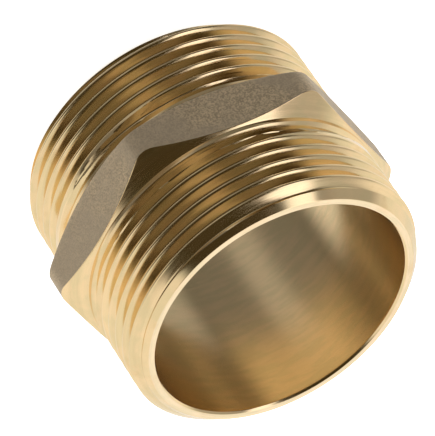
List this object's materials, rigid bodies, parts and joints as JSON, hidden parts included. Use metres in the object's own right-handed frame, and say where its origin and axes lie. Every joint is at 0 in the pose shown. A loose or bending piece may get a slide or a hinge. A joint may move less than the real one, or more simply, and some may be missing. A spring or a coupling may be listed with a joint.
{
  "type": "hex nipple",
  "caption": "Brass hex nipple: a short tube with a right-hand parallel pipe thread at both ends and a hexagon between them for a spanner.",
  "frame": {"origin": "on the bore axis at half the overall length, which is the middle plane of the hexagon", "axes": "+Z along the bore axis out of the top thread, two hexagon corners on X, two spanner flats square to Y"},
  "size_m": [0.055, 0.0486, 0.0396],
  "materials": {
    "brass": "turned bright, spanner flats left matt as forged"
  },
  "bodies": {
    "root": {"nipple_body": "brass"}
  },
  "joints": []
}
